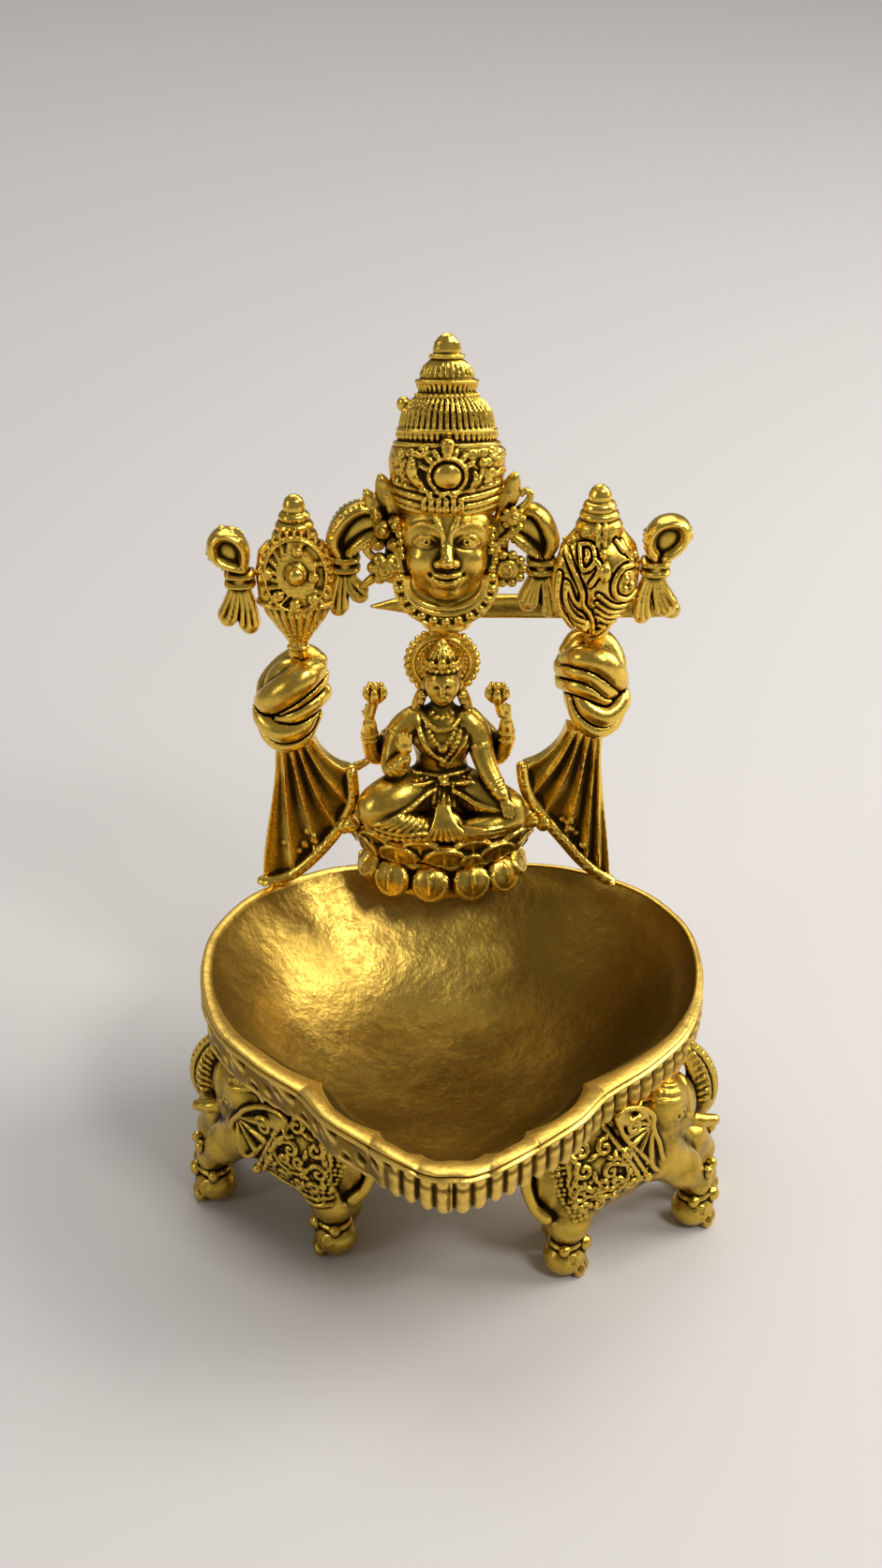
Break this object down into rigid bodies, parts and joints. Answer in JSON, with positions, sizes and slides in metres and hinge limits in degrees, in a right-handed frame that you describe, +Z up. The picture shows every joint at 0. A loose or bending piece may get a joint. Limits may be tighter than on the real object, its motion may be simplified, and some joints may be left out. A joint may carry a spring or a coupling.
{
  "type": "figural brass oil lamp",
  "caption": "Leaf-shaped brass oil bowl carried on elephants, with a seated goddess on a lotus, draped columns, emblems and a crowned head at its rear.",
  "frame": {"origin": "on the floor, under the middle of the lamp's outer box", "axes": "+Z up through the crown, -Y towards the bowl's spout, +X to the conch"},
  "size_m": [0.1062, 0.1146, 0.1615],
  "materials": {
    "bright_brass": "polished on the ridges, dark in the recesses",
    "aged_brass": "antique, darker and rubbed on the ridges",
    "bowl_brass": "worn satin with smoky patches"
  },
  "bodies": {
    "root": {"oil_bowl": "bowl_brass", "lotus_lower_petals": "bright_brass", "lotus_upper_petals": "bright_brass", "goddess_figure": "bright_brass", "knot_left": "bright_brass", "knot_right": "bright_brass", "drape_left": "bright_brass", "drape_right": "bright_brass", "discus_pot": "bright_brass", "conch": "bright_brass", "discus": "bright_brass", "deity_head": "bright_brass", "crown": "bright_brass", "collar": "bright_brass", "goddess_halo": "bright_brass", "ear_flowers_left": "aged_brass", "ear_flowers_right": "aged_brass", "bow_outer_left": "bright_brass", "bow_inner_left": "aged_brass", "bow_inner_right": "aged_brass", "bow_outer_right": "bright_brass", "elbow_stay": "aged_brass", "rear_brace": "aged_brass", "elephant_left": "aged_brass", "elephant_right": "aged_brass", "elephant_rear": "aged_brass"}
  },
  "joints": []
}
